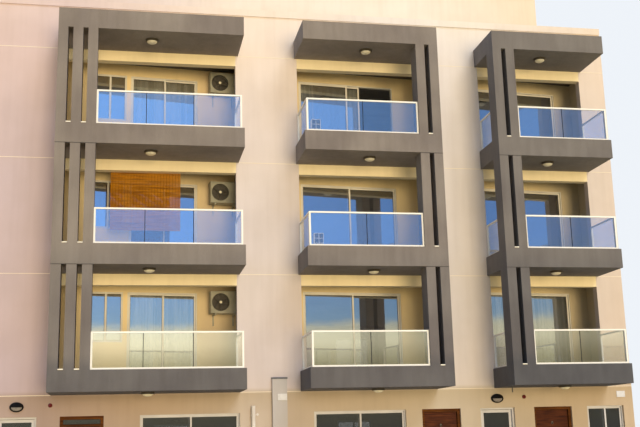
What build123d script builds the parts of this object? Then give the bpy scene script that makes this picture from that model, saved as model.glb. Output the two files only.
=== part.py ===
from build123d import *
import math
import os

# A four-storey apartment block with a set-back top storey, in millimetres.
# X runs to the right along the street front, Y into the building, Z up.
# Pieces are drawn from the front left corner of the street wall and moved at the
# end, so that the origin lies on the ground under the middle of the whole block.

# Whole building
building_depth = 12000
storey_height = 3000
first_soffit = 2840
wall_thickness = 220
ground_floor_level = 100
top_setback = 4250
terrace_guard_height = 1035
coping_height = 190
coping_overhang = 30
roof_guard_height = 1000

# Balconies, in columns with plain piers of wall before, between and after them
balcony_projection = 1465
fascia_height = 505
upstand_height = 170
upstand_width = 160
pier_widths = (1630, 1545, 1557, 698)
column_widths = (4635, 3640, 3225)
column_names = ("left", "middle", "right")
storey_names = ("first", "second", "third")
blade_width = 240
blade_depth = 480
slot_width = 125
blade_counts = (3, 2, 2)
blades_on_right = (False, True, False)

# Recessed loggias behind the balconies
opening_inset = 70
lintel_drop = 285
loggia_side_margin = 250
loggia_side_wall = 120
loggia_depth = 840
loggia_turn = 5.57
back_wall_thickness = 150

# Balcony doors and bedroom window, measured from each balcony's left end
door_starts = (1800, 260, 300)
door_ends = (3630, 3060, 2860)
door_head = 2350
bedroom_start = 810
bedroom_end = 1690
bedroom_sill = 1040
open_leaf_travel = 960
open_leaf_place = ("middle", "third")

# Window and door profiles
frame_face = 30
frame_depth = 110
leaf_face = 45
leaf_depth = 40
stile_overlap = 10
glass_thickness = 8
frame_setback = 20

# Balustrades
rail_height = 890
rail_inset = 80
rail_width = 45
rail_depth = 40
foot_rail_depth = 45
end_post = 45
pane_gap = 15
pane_thickness = 12
pane_counts = (3, 2, 2)

# Ground floor, from the left end: each opening's kind, the wall before it and its width
street_row = (("glazed door", 380, 941), ("wood door", 545, 1044), ("window", 872, 2469),
              ("window", 1888, 2420), ("wood door", 434, 1045), ("glazed door", 547, 943),
              ("wood door", 552, 1064), ("window", 441, 1056))
opening_head = 2330
window_sill = 1000
reveal_depth = 70
threshold_height = ground_floor_level
wood_frame_face = 75
wood_frame_depth = 100
wood_leaf_thickness = 50
wood_groove_depth = 8
wood_groove_width = 14
wood_groove_pitch = 150
wood_groove_margin = 110
fanlight_height = 120
fanlight_rail = 50
glazed_frame_face = 45
glazed_leaf_face = 70
glazed_leaf_thickness = 45
door_gap = 8
handle_height = 1000
handle_length = 130
handle_thickness = 22
handle_reach = 50
handle_inset = 60
hinge_radius = 9
hinge_length = 100
hinge_clearance = 0.3
hinge_plate = 3
hinge_plate_width = 30
hinge_from_end = 220
hinges_per_leaf = 3

# Rear windows, one row for each storey
rear_window_count = 5
rear_window_width = 1300
rear_window_height = 1200
rear_sill = 1000

# Terrace doors of the top storey
terrace_door_count = 4
terrace_door_width = 2000
terrace_door_head = 2250

# Fittings
lamp_radius = 165
lamp_height = 45
lens_radius = 130
lens_height = 65
lens_round = 30
lamp_from_front = 615
wall_lamp_length = 330
wall_lamp_width = 235
wall_lamp_depth = 100
wall_lamp_level = 2570
duct_from_column = 802
duct_width = 377
duct_depth = 100
duct_height = 3190
cooler_width = 800
cooler_depth = 300
cooler_height = 590
cooler_start = 3945
cooler_gap = 80
cooler_drops = (300, 300, 165)
bracket_height = 45
bracket_width = 40
bracket_inset = 110
blind_from_side = 1320
blind_width = 1800
blind_drop = 1540
blind_lap = 60
blind_thickness = 20
blind_place = ("left", "second")
box_width = 240
box_depth = 200
box_height = 520
box_from_side = 200
box_places = (("middle", "second"), ("middle", "third"))
curtain_thickness = 40
curtain_gap = 40
curtain_lap = 80
curtain_places = (("left", "first"), ("left", "third"), ("middle", "third"), ("right", "first"))

# Values worked out from the sizes above
columns = range(len(column_names))
storeys = range(1, len(storey_names) + 1)
roof_level = len(storey_names) + 1
column_starts = [sum(pier_widths[:i + 1]) + sum(column_widths[:i]) for i in columns]
building_width = sum(pier_widths) + sum(column_widths)
slab_thickness = fascia_height - upstand_height
street_room_face = wall_thickness
rear_room_face = building_depth - wall_thickness
left_room_face = wall_thickness
right_room_face = building_width - wall_thickness
origin_shift = Location((-building_width / 2, (balcony_projection - building_depth) / 2, 0))


def soffit(level):
    """Underside of the slab at a level, where 1 is the first floor."""
    return first_soffit + (level - 1) * storey_height


def slab_top(level):
    return soffit(level) + slab_thickness


def fascia_top(level):
    return soffit(level) + fascia_height


def street_openings(kind):
    """Start and end of each ground floor opening of one kind."""
    spans = []
    end = 0
    for name, wall, width in street_row:
        start = end + wall
        end = start + width
        if name == kind:
            spans.append((start, end))
    return spans


def balcony_at(place):
    """Column and level of a balcony given by its column's and storey's names."""
    column, storey = place
    return column_names.index(column), storey_names.index(storey) + 1


street_windows = street_openings("window")
wood_doors = street_openings("wood door")
glazed_doors = street_openings("glazed door")
terrace_top = slab_top(roof_level)
guard_top = terrace_top + terrace_guard_height
penthouse_soffit = soffit(roof_level + 1)
penthouse_slab_top = slab_top(roof_level + 1)
building_top = penthouse_slab_top + roof_guard_height


def block(x0, x1, y0, y1, z0, z1):
    """A box between two corners."""
    box = Box(x1 - x0, y1 - y0, z1 - z0, align=(Align.MIN, Align.MIN, Align.MIN))
    return Pos(x0, y0, z0) * box


def save(name, shapes):
    """Write one sub-part, moved to the building's own origin."""
    solids = [solid for shape in shapes for solid in shape.solids()]
    export_step(origin_shift * Compound(solids), "parts/" + name + ".step")


def column_end(column):
    return column_starts[column] + column_widths[column]


def opening_span(column):
    return column_starts[column] + opening_inset, column_end(column) - opening_inset


def turned(column, shape):
    """Place a shape drawn along X on the turned back wall of a loggia."""
    place = Location((column_starts[column], loggia_depth, 0), (0, 0, loggia_turn))
    return place * shape


def along(distance):
    """Length along the turned wall for a distance measured along the street."""
    return distance / math.cos(math.radians(loggia_turn))


# Floors and roof


def floor_slabs():
    ground = block(left_room_face, right_room_face, street_room_face, rear_room_face,
                   0, ground_floor_level)
    upper = [block(left_room_face, right_room_face, street_room_face, rear_room_face,
                   soffit(level), slab_top(level)) for level in range(1, roof_level + 1)]
    return [ground] + upper


def penthouse_roof():
    return [block(left_room_face, right_room_face, top_setback + wall_thickness,
                  rear_room_face, penthouse_soffit, penthouse_slab_top)]


# Outer walls


def party_wall(x0):
    low = block(x0, x0 + wall_thickness, street_room_face, top_setback, 0, guard_top)
    high = block(x0, x0 + wall_thickness, top_setback, rear_room_face, 0, building_top)
    return [low + high]


def doorways():
    return sorted(wood_doors + glazed_doors)


def street_wall():
    """Ground floor wall in pieces between the doorways, windows cut through."""
    edges = [0]
    for start, end in doorways():
        edges += [start, end]
    edges.append(building_width)
    pieces = []
    for x0, x1 in zip(edges[0::2], edges[1::2]):
        piece = block(x0, x1, 0, wall_thickness, 0, first_soffit)
        for w0, w1 in street_windows:
            if x0 < w0 < x1:
                piece -= block(w0, w1, -wall_thickness, wall_thickness * 2,
                               window_sill, opening_head)
        pieces.append(piece)
    return pieces


def doorway_lintels():
    return [block(x0, x1, 0, wall_thickness, opening_head, first_soffit)
            for x0, x1 in doorways()]


def door_thresholds():
    return [block(x0, x1, 0, wall_thickness, 0, threshold_height) for x0, x1 in doorways()]


def facade_piers():
    """Wall between the balcony openings, up to the terrace."""
    edges = [0]
    for column in columns:
        edges += list(opening_span(column))
    edges.append(building_width)
    return [block(x0, x1, 0, wall_thickness, first_soffit, terrace_top)
            for x0, x1 in zip(edges[0::2], edges[1::2])]


def loggia_lintels():
    beams = []
    for column in columns:
        x0, x1 = opening_span(column)
        for level in storeys:
            top = soffit(level + 1)
            beams.append(block(x0, x1, 0, wall_thickness, top - lintel_drop, top))
    return beams


def parapet():
    wall = block(0, building_width, 0, wall_thickness, terrace_top, guard_top)
    coping = block(0, building_width, -coping_overhang, wall_thickness + coping_overhang,
                   guard_top - coping_height, guard_top)
    side_walls = block(0, wall_thickness, wall_thickness, wall_thickness + coping_overhang,
                       guard_top - coping_height, guard_top)
    far_side = Pos(building_width - wall_thickness, 0, 0) * side_walls
    return [wall + coping - side_walls - far_side]


def rear_window_spans():
    pitch = building_width / rear_window_count
    return [(pitch * (i + 0.5) - rear_window_width / 2, pitch * (i + 0.5) + rear_window_width / 2)
            for i in range(rear_window_count)]


def rear_floor_levels():
    return [ground_floor_level] + [slab_top(level) for level in range(1, roof_level + 1)]


def rear_wall():
    wall = block(0, building_width, rear_room_face, building_depth, 0, building_top)
    for floor in rear_floor_levels():
        for x0, x1 in rear_window_spans():
            sill = floor + rear_sill
            wall -= block(x0, x1, rear_room_face - wall_thickness,
                          building_depth + wall_thickness, sill, sill + rear_window_height)
    return [wall]


def terrace_door_spans():
    pitch = (right_room_face - left_room_face) / terrace_door_count
    middles = [left_room_face + pitch * (i + 0.5) for i in range(terrace_door_count)]
    return [(m - terrace_door_width / 2, m + terrace_door_width / 2) for m in middles]


def penthouse_front_wall():
    wall = block(left_room_face, right_room_face, top_setback, top_setback + wall_thickness,
                 terrace_top, building_top)
    for x0, x1 in terrace_door_spans():
        wall -= block(x0, x1, 0, top_setback + wall_thickness * 2,
                      terrace_top, terrace_top + terrace_door_head)
    return [wall]


# Loggias


def loggia_span(column):
    x0, x1 = opening_span(column)
    return x0 - loggia_side_margin, x1 + loggia_side_margin


def behind_back_wall(column):
    """Everything behind the front face of a loggia's back wall."""
    reach = building_width
    return turned(column, block(-reach, reach, 0, reach, 0, building_top))


def loggia_side_walls():
    walls = []
    for column in columns:
        x0, x1 = loggia_span(column)
        beyond = behind_back_wall(column)
        for level in storeys:
            for start in (x0 - loggia_side_wall, x1):
                wall = block(start, start + loggia_side_wall, street_room_face,
                             street_room_face + building_depth / 2,
                             slab_top(level), soffit(level + 1))
                walls.append(wall - beyond)
    return walls


def door_span(column):
    return along(door_starts[column]), along(door_ends[column])


def bedroom_span():
    return along(bedroom_start), along(bedroom_end)


def loggia_back_walls(column):
    x0, x1 = loggia_span(column)
    u0 = along(x0 - loggia_side_wall - column_starts[column])
    u1 = along(x1 + loggia_side_wall - column_starts[column])
    walls = []
    for level in storeys:
        floor = slab_top(level)
        wall = block(u0, u1, 0, back_wall_thickness, floor, soffit(level + 1))
        d0, d1 = door_span(column)
        wall -= block(d0, d1, -back_wall_thickness, back_wall_thickness * 2,
                      floor, floor + door_head)
        if column == 0:
            w0, w1 = bedroom_span()
            wall -= block(w0, w1, -back_wall_thickness, back_wall_thickness * 2,
                          floor + bedroom_sill, floor + door_head)
        walls.append(turned(column, wall))
    return walls


# Frames and glass


def ring(x0, x1, y0, y1, z0, z1, face):
    """A rectangular frame of one profile width, standing in the XZ plane."""
    inner = block(x0 + face, x1 - face, y0 - face, y1 + face, z0 + face, z1 - face)
    return block(x0, x1, y0, y1, z0, z1) - inner


def pane(x0, x1, y_middle, z0, z1, thickness=glass_thickness):
    return block(x0, x1, y_middle - thickness / 2, y_middle + thickness / 2, z0, z1)


def sliding_unit(x0, x1, y0, z0, z1, travel=0):
    """A two-leaf sliding frame and its two panes. The right leaf slides behind."""
    frame = ring(x0, x1, y0, y0 + frame_depth, z0, z1, frame_face)
    middle = (x0 + x1) / 2
    past_middle = leaf_face - stile_overlap / 2
    track_gap = (frame_depth - 2 * leaf_depth) / 3
    front = y0 + track_gap
    back = front + leaf_depth
    spans = ((x0 + frame_face, middle + past_middle, front),
             (middle - past_middle - travel, x1 - frame_face - travel, back))
    panes = []
    for a, b, y in spans:
        frame += ring(a, b, y, y + leaf_depth, z0 + frame_face, z1 - frame_face, leaf_face)
        panes.append(pane(a + leaf_face, b - leaf_face, y + leaf_depth / 2,
                          z0 + frame_face + leaf_face, z1 - frame_face - leaf_face))
    return frame, panes


def casement_unit(x0, x1, y0, z0, z1):
    """A window of two equal lights with a post between them."""
    middle = (x0 + x1) / 2
    depth = frame_depth / 2
    face = frame_face + leaf_face / 2
    frame = ring(x0, x1, y0, y0 + depth, z0, z1, face)
    frame += block(middle - face / 2, middle + face / 2, y0, y0 + depth, z0, z1)
    spans = ((x0 + face, middle - face / 2), (middle + face / 2, x1 - face))
    panes = [pane(a, b, y0 + depth / 2, z0 + face, z1 - face) for a, b in spans]
    return frame, panes


def loggia_joinery(column):
    frames, panes = [], []
    d0, d1 = door_span(column)
    for level in storeys:
        floor = slab_top(level)
        is_open = (column, level) == balcony_at(open_leaf_place)
        units = [sliding_unit(d0, d1, frame_setback, floor, floor + door_head,
                              open_leaf_travel if is_open else 0)]
        if column == 0:
            w0, w1 = bedroom_span()
            units.append(casement_unit(w0, w1, frame_setback, floor + bedroom_sill,
                                       floor + door_head))
        for frame, glass in units:
            frames.append(turned(column, frame))
            panes += [turned(column, sheet) for sheet in glass]
    return frames, panes


def plain_windows():
    """Ground floor windows, terrace doors and rear windows."""
    units = [sliding_unit(x0, x1, reveal_depth, window_sill, opening_head)
             for x0, x1 in street_windows]
    for x0, x1 in terrace_door_spans():
        units.append(sliding_unit(x0, x1, top_setback + reveal_depth, terrace_top,
                                  terrace_top + terrace_door_head))
    rear_face = building_depth - reveal_depth - frame_depth / 2
    for floor in rear_floor_levels():
        sill = floor + rear_sill
        for x0, x1 in rear_window_spans():
            units.append(casement_unit(x0, x1, rear_face, sill, sill + rear_window_height))
    frames = [frame for frame, _ in units]
    panes = [sheet for _, glass in units for sheet in glass]
    return frames, panes


# Street doors


def jambs(spans, face, depth):
    posts = []
    for x0, x1 in spans:
        for start in (x0, x1 - face):
            posts.append(block(start, start + face, reveal_depth, reveal_depth + depth,
                               threshold_height, opening_head))
    return posts


def heads(spans, face, depth):
    return [block(x0 + face, x1 - face, reveal_depth, reveal_depth + depth,
                  opening_head - face, opening_head) for x0, x1 in spans]


def fanlight_base():
    return opening_head - wood_frame_face - fanlight_height


def fanlight():
    """Glass strip and rail above the leftmost wooden door."""
    x0, x1 = wood_doors[0]
    inner = (x0 + wood_frame_face, x1 - wood_frame_face)
    rail = block(*inner, reveal_depth, reveal_depth + wood_frame_depth,
                 fanlight_base() - fanlight_rail, fanlight_base())
    glass = pane(*inner, reveal_depth + wood_frame_depth / 2, fanlight_base(),
                 fanlight_base() + fanlight_height)
    return rail, glass


def handle(x_middle, y_face, z, outward):
    """A lever on a short neck, standing off one face of a leaf."""
    neck_end = y_face + outward * handle_reach
    low, high = sorted((y_face, neck_end))
    neck = block(x_middle - handle_thickness / 2, x_middle + handle_thickness / 2, low, high,
                 z - handle_thickness / 2, z + handle_thickness / 2)
    low, high = sorted((neck_end, neck_end - outward * handle_thickness))
    bar = block(x_middle - handle_thickness / 2, x_middle + handle_thickness / 2, low, high,
                z - handle_length, z + handle_thickness / 2)
    return neck + bar


def leaf_bounds(span, face, head_drop):
    x0, x1 = span
    return (x0 + face + door_gap, x1 - face - door_gap,
            threshold_height + door_gap, opening_head - head_drop - door_gap)


def wood_leaf(index):
    """A boarded timber leaf with level grooves on its street side."""
    x0, x1, z0, z1 = wood_bounds(index)
    back = reveal_depth + wood_frame_depth
    front = back - wood_leaf_thickness
    leaf = block(x0, x1, front, back, z0, z1)
    level = z1 - wood_groove_pitch
    while level > z0 + wood_groove_pitch:
        leaf -= block(x0 + wood_groove_margin, x1 - wood_groove_margin,
                      front - wood_groove_depth, front + wood_groove_depth,
                      level, level + wood_groove_width)
        level -= wood_groove_pitch
    grip_x = x1 - handle_inset
    leaf += handle(grip_x, front, threshold_height + handle_height, -1)
    leaf += handle(grip_x, back, threshold_height + handle_height, 1)
    return [leaf]


def glazed_leaf(index):
    """A white metal leaf, glazed from top to bottom."""
    x0, x1, z0, z1 = glazed_bounds(index)
    back = reveal_depth + frame_depth
    front = back - glazed_leaf_thickness
    leaf = ring(x0, x1, front, back, z0, z1, glazed_leaf_face)
    grip_x = x1 - glazed_leaf_face / 2
    leaf += handle(grip_x, front, threshold_height + handle_height, -1)
    leaf += handle(grip_x, back, threshold_height + handle_height, 1)
    glass = pane(x0 + glazed_leaf_face, x1 - glazed_leaf_face, (front + back) / 2,
                 z0 + glazed_leaf_face, z1 - glazed_leaf_face)
    return leaf, glass


def hinge_offset():
    """How far the hinge axis stands behind a leaf, so that the barrel just clears it."""
    return math.sqrt((hinge_radius + hinge_clearance) ** 2 - (door_gap / 2) ** 2)


def leaf_hinges(bounds, back):
    """Barrels in the gap between jamb and leaf, each on a plate screwed to the jamb."""
    x0, _, z0, z1 = bounds
    axis_x = x0 - door_gap / 2
    jamb_face = x0 - door_gap
    first = z0 + hinge_from_end
    step = (z1 - z0 - 2 * hinge_from_end) / (hinges_per_leaf - 1)
    pieces = []
    for i in range(hinges_per_leaf):
        low = first + i * step - hinge_length / 2
        barrel = Pos(axis_x, back + hinge_offset(), low) * Cylinder(
            hinge_radius, hinge_length, align=(Align.CENTER, Align.CENTER, Align.MIN))
        plate = block(jamb_face - hinge_plate_width, axis_x - hinge_plate, back,
                      back + hinge_plate, low, low + hinge_length)
        pieces.append(barrel + plate)
    return pieces


def wood_bounds(index):
    above = wood_frame_face
    if index == 0:
        above += fanlight_height + fanlight_rail
    return leaf_bounds(wood_doors[index], wood_frame_face, above)


def glazed_bounds(index):
    return leaf_bounds(glazed_doors[index], glazed_frame_face, glazed_frame_face)


def door_hinges():
    pieces = []
    for index in range(len(wood_doors)):
        pieces += leaf_hinges(wood_bounds(index), reveal_depth + wood_frame_depth)
    for index in range(len(glazed_doors)):
        pieces += leaf_hinges(glazed_bounds(index), reveal_depth + frame_depth)
    return pieces


# Balconies


def blade_spans(column):
    """Where the narrow blade columns of a balcony stand, along X."""
    count = blade_counts[column]
    zone = count * blade_width + (count - 1) * slot_width
    start = column_starts[column]
    if blades_on_right[column]:
        start = column_end(column) - zone
    pitch = blade_width + slot_width
    return [(start + i * pitch, start + i * pitch + blade_width) for i in range(count)]


def blade_zone(column):
    spans = blade_spans(column)
    return spans[0][0], spans[-1][1]


def balcony(column, level):
    """A cast slab with an upstand at its three outer edges and under the blades."""
    x0, x1 = column_starts[column], column_end(column)
    base, floor, top = soffit(level), slab_top(level), fascia_top(level)
    tray = block(x0, x1, -balcony_projection, 0, base, top)
    recess = block(x0 + upstand_width, x1 - upstand_width,
                   -balcony_projection + upstand_width, 0, floor, top)
    b0, b1 = blade_zone(column)
    plinth = block(b0, b1, -balcony_projection, -balcony_projection + blade_depth, floor, top)
    o0, o1 = opening_span(column)
    root = block(o0, o1, 0, wall_thickness, base, floor)
    return tray - (recess - plinth) + root


def balconies(column):
    return [balcony(column, level) for level in range(1, roof_level + 1)]


def blade_columns():
    front = -balcony_projection
    blades = []
    for column in columns:
        for level in storeys:
            for x0, x1 in blade_spans(column):
                blades.append(block(x0, x1, front, front + blade_depth,
                                    fascia_top(level), soffit(level + 1)))
    return blades


def guard_runs(column):
    """Front run and side runs of a balustrade, as centre lines in plan."""
    front = -balcony_projection + rail_inset
    left = column_starts[column] + rail_inset
    right = column_end(column) - rail_inset
    b0, b1 = blade_zone(column)
    behind_blades = -balcony_projection + blade_depth
    if blades_on_right[column]:
        ends = (left, b0)
        starts = (front, behind_blades)
    else:
        ends = (b1, right)
        starts = (behind_blades, front)
    return ends, front, ((left, starts[0]), (right, starts[1]))


def front_reach(column):
    """Ends of a balustrade's front run, out to the corner where it turns."""
    (x0, x1), front, sides = guard_runs(column)
    half = rail_width / 2
    return (x0 - half if x0 == sides[0][0] else x0, x1 + half if x1 == sides[1][0] else x1)


def guard_front(column, level):
    """Hand rail, foot rail and two end posts along the street side."""
    base = fascia_top(level)
    top = base + rail_height
    front = guard_runs(column)[1]
    half = rail_width / 2
    x0, x1 = front_reach(column)
    opening = block(x0 + end_post, x1 - end_post, front - rail_width, front + rail_width,
                    base + foot_rail_depth, top - rail_depth)
    return block(x0, x1, front - half, front + half, base, top) - opening


def side_start(y0, front):
    """A side run begins behind the front run or behind the blades."""
    return front + rail_width / 2 if y0 == front else y0


def guard_sides(column, level):
    base = fascia_top(level)
    top = base + rail_height
    _, front, sides = guard_runs(column)
    half = rail_width / 2
    frames = []
    for x, y0 in sides:
        start = side_start(y0, front)
        opening = block(x - rail_width, x + rail_width, start + end_post, -end_post,
                        base + foot_rail_depth, top - rail_depth)
        frames.append(block(x - half, x + half, start, 0, base, top) - opening)
    return frames


def guard_glass(column, level):
    base = fascia_top(level) + foot_rail_depth
    top = fascia_top(level) + rail_height - rail_depth
    _, front, sides = guard_runs(column)
    start, end = front_reach(column)
    start += end_post
    end -= end_post
    count = pane_counts[column]
    width = (end - start - (count - 1) * pane_gap) / count
    sheets = []
    for i in range(count):
        x = start + i * (width + pane_gap)
        sheets.append(pane(x, x + width, front, base, top, pane_thickness))
    for x, y0 in sides:
        sheets.append(block(x - pane_thickness / 2, x + pane_thickness / 2,
                            side_start(y0, front) + end_post, -end_post, base, top))
    return sheets


# Fittings


def ceiling_lamp(column, level):
    x = (column_starts[column] + column_end(column)) / 2
    y = -balcony_projection + lamp_from_front
    z = soffit(level)
    lens = Cylinder(lens_radius, lens_height, align=(Align.CENTER, Align.CENTER, Align.MAX))
    lens = fillet(lens.edges().group_by(Axis.Z)[0], lens_round)
    rim = Cylinder(lamp_radius, lamp_height, align=(Align.CENTER, Align.CENTER, Align.MAX))
    return Pos(x, y, z) * (rim + Pos(0, 0, -lamp_height) * lens)


def wall_lamp(x):
    oval = Plane.XZ * Ellipse(wall_lamp_length / 2, wall_lamp_width / 2)
    return Pos(x, 0, wall_lamp_level) * extrude(oval, wall_lamp_depth)


def bulkhead_lamps():
    ceiling = [ceiling_lamp(column, level) for column in columns
               for level in range(1, roof_level + 1)]
    return ceiling + [wall_lamp((x0 + x1) / 2) for x0, x1 in glazed_doors]


def cooler(level):
    """An outdoor cooling unit on two arms from the loggia's back wall."""
    top = soffit(level + 1) - cooler_drops[level - 1]
    base = top - cooler_height
    back = -cooler_gap
    body = block(cooler_start, cooler_start + cooler_width, back - cooler_depth, back, base, top)
    for start in (cooler_start + bracket_inset,
                  cooler_start + cooler_width - bracket_inset - bracket_width):
        body += block(start, start + bracket_width, back - cooler_depth, 0,
                      base - bracket_height, base)
    return turned(0, body)


def louvred_box(column, level):
    x = column_starts[column] + box_from_side
    y = -balcony_projection + upstand_width
    floor = slab_top(level)
    return block(x, x + box_width, y, y + box_depth, floor, floor + box_height)


def air_units():
    coolers = [cooler(level) for level in storeys]
    return coolers + [louvred_box(*balcony_at(place)) for place in box_places]


def bamboo_blind():
    column, level = balcony_at(blind_place)
    start = column_starts[column] + blind_from_side
    top = soffit(level + 1) - lintel_drop + blind_lap
    return [block(start, start + blind_width, wall_thickness,
                  wall_thickness + blind_thickness, top - blind_drop - blind_lap, top)]


def curtains():
    """Plain bodies of the curtains that hang behind some of the balcony doors."""
    cloths = []
    for column, level in map(balcony_at, curtain_places):
        d0, d1 = door_span(column)
        end = d1 + curtain_lap
        if (column, level) == balcony_at(open_leaf_place):
            end = d1 - frame_face - open_leaf_travel
        front = back_wall_thickness + curtain_gap
        cloth = block(d0 - curtain_lap, end, front, front + curtain_thickness,
                      slab_top(level) + curtain_gap, soffit(level + 1))
        cloths.append(turned(column, cloth))
    return cloths


def street_duct():
    start = column_end(0) + duct_from_column
    return [block(start, start + duct_width, -duct_depth, 0, 0, duct_height)]


def write_parts():
    os.makedirs("parts", exist_ok=True)
    save("floor_slabs", floor_slabs())
    save("penthouse_roof", penthouse_roof())
    save("party_wall_left", party_wall(0))
    save("party_wall_right", party_wall(right_room_face))
    save("street_wall", street_wall())
    save("doorway_lintels", doorway_lintels())
    save("door_thresholds", door_thresholds())
    save("facade_piers", facade_piers())
    save("loggia_lintels", loggia_lintels())
    save("terrace_parapet", parapet())
    save("rear_wall", rear_wall())
    save("penthouse_front_wall", penthouse_front_wall())
    save("loggia_side_walls", loggia_side_walls())
    loggia_panes = []
    for column in columns:
        name = column_names[column]
        save("loggia_back_walls_" + name, loggia_back_walls(column))
        frames, panes = loggia_joinery(column)
        save("balcony_door_frames_" + name, frames)
        loggia_panes += panes
        save("balconies_" + name, balconies(column))
    save("balcony_door_glass", loggia_panes)
    frames, panes = plain_windows()
    save("window_frames", frames)
    save("window_glass", panes)
    rail, strip = fanlight()
    save("wood_door_jambs", jambs(wood_doors, wood_frame_face, wood_frame_depth))
    save("wood_door_heads", heads(wood_doors, wood_frame_face, wood_frame_depth) + [rail])
    save("fanlight_glass", [strip])
    save("glazed_door_jambs", jambs(glazed_doors, glazed_frame_face, frame_depth))
    save("glazed_door_heads", heads(glazed_doors, glazed_frame_face, frame_depth))
    for index, name in enumerate(column_names):
        save("wood_door_" + name, wood_leaf(index))
    for index, name in enumerate(("left", "middle")):
        leaf, glass = glazed_leaf(index)
        save("glazed_door_" + name, [leaf])
        save("glazed_door_glass_" + name, [glass])
    save("door_hinges", door_hinges())
    save("blade_columns", blade_columns())
    guards = [(column, level) for column in columns for level in storeys]
    save("balustrade_fronts", [guard_front(*place) for place in guards])
    save("balustrade_sides", [frame for place in guards for frame in guard_sides(*place)])
    save("balustrade_glass", [sheet for place in guards for sheet in guard_glass(*place)])
    save("bulkhead_lamps", bulkhead_lamps())
    save("air_units", air_units())
    save("bamboo_blind", bamboo_blind())
    save("curtains", curtains())
    save("street_duct", street_duct())


write_parts()
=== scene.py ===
import bpy
import math
from mathutils import Matrix, Vector


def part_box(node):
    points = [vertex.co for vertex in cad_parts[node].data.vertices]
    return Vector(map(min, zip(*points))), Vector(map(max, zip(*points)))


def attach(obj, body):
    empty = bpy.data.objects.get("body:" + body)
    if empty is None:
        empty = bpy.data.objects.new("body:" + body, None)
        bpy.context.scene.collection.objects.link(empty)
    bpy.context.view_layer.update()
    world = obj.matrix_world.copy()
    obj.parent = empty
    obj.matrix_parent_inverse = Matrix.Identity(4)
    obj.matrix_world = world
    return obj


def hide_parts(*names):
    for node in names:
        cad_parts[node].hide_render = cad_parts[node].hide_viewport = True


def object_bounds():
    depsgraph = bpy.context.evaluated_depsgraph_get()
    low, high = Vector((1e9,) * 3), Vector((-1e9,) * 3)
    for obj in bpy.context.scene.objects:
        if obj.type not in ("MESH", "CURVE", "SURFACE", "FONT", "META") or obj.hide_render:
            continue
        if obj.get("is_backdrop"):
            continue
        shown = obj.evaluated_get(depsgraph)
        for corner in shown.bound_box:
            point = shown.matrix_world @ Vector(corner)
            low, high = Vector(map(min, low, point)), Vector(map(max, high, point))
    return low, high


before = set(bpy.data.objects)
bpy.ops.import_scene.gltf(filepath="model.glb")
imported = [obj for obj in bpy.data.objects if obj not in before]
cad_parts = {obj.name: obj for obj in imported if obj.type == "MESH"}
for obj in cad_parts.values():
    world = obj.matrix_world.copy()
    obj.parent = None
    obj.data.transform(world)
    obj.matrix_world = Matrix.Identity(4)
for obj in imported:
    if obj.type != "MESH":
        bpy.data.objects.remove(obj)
bpy.ops.object.select_all(action="DESELECT")
cad_low, cad_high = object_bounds()

# Camera and studio
# The camera stands in the street at eye height, left of the middle of the front, and
# looks up a little. The floor is plain and pale, and the light comes softly from the
# street: warm and low from the right, cool and higher up, with a weak light behind.
eye = Vector((-5.0423, -30.7622, 1.615))
heading = math.radians(11.1063)
upward_tilt = math.radians(12.7571)
camera_roll = math.radians(-1.4899)
bpy.ops.object.camera_add()
camera = bpy.context.object
camera.data.sensor_width = 36
camera.data.lens = 56.2755
camera.data.clip_end = 500
camera.matrix_world = (Matrix.Translation(eye) @ Matrix.Rotation(-heading, 4, "Z")
                       @ Matrix.Rotation(math.pi / 2 + upward_tilt, 4, "X")
                       @ Matrix.Rotation(camera_roll, 4, "Z"))
bpy.context.scene.camera = camera


def add_node(tree, kind, settings=None, **inputs):
    """A shader node with its settings and its unlinked inputs."""
    node = tree.nodes.new(kind)
    for key, value in (settings or {}).items():
        setattr(node, key, value)
    for key, value in inputs.items():
        node.inputs[key].default_value = value
    return node


def connect(tree, *pairs):
    """Link outputs to inputs, pair by pair."""
    for source, target in pairs:
        tree.links.new(source, target)


def set_stops(ramp, stops):
    """The tones of a ramp, each at its place along it."""
    elements = ramp.color_ramp.elements
    elements[0].position = stops[0][0]
    elements[1].position = stops[-1][0]
    for place, _ in stops[1:-1]:
        elements.new(place)
    for stop, (_, tone) in zip(elements, stops):
        stop.color = (*tone, 1)


def aim_sun(name, right_of_front, height, strength, colour, softness):
    """A broad distant lamp, placed by its angles as seen from the front wall."""
    bpy.ops.object.light_add(type="SUN")
    lamp = bpy.context.object
    lamp.name = name
    lamp.data.energy = strength
    lamp.data.color = colour
    lamp.data.angle = math.radians(softness)
    lamp.rotation_euler = (math.radians(90 - height), 0, math.radians(right_of_front))
    lamp.visible_glossy = False


aim_sun("low_street_light", 8, -2, 2.15, (1.0, 0.78, 0.45), 28)
aim_sun("high_street_light", 30, 50, 1.35, (0.86, 0.95, 1.0), 30)
aim_sun("light_behind", 205, 40, 1.10, (1.0, 0.97, 0.93), 30)

world = bpy.data.worlds.new("studio_sky")
bpy.context.scene.world = world
world.use_nodes = True
sky_tree = world.node_tree
sky_tree.nodes.clear()
sky_point = add_node(sky_tree, "ShaderNodeTexCoord")
sky_height = add_node(sky_tree, "ShaderNodeSeparateXYZ")
sky_ramp = add_node(sky_tree, "ShaderNodeValToRGB")
sky_fading = add_node(sky_tree, "ShaderNodeMapRange",
                      **{"From Min": -0.05, "From Max": 0.45, "To Min": 1.5, "To Max": 0.72})
sky_light = add_node(sky_tree, "ShaderNodeBackground", Strength=0.5, Color=(0.66, 0.76, 0.92, 1))
sky_backdrop = add_node(sky_tree, "ShaderNodeBackground", Color=(0.86, 0.90, 0.95, 1))
sky_mirrored = add_node(sky_tree, "ShaderNodeBackground")
sky_path = add_node(sky_tree, "ShaderNodeLightPath")
sky_gloss_mix = add_node(sky_tree, "ShaderNodeMixShader")
sky_mix = add_node(sky_tree, "ShaderNodeMixShader")
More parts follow.
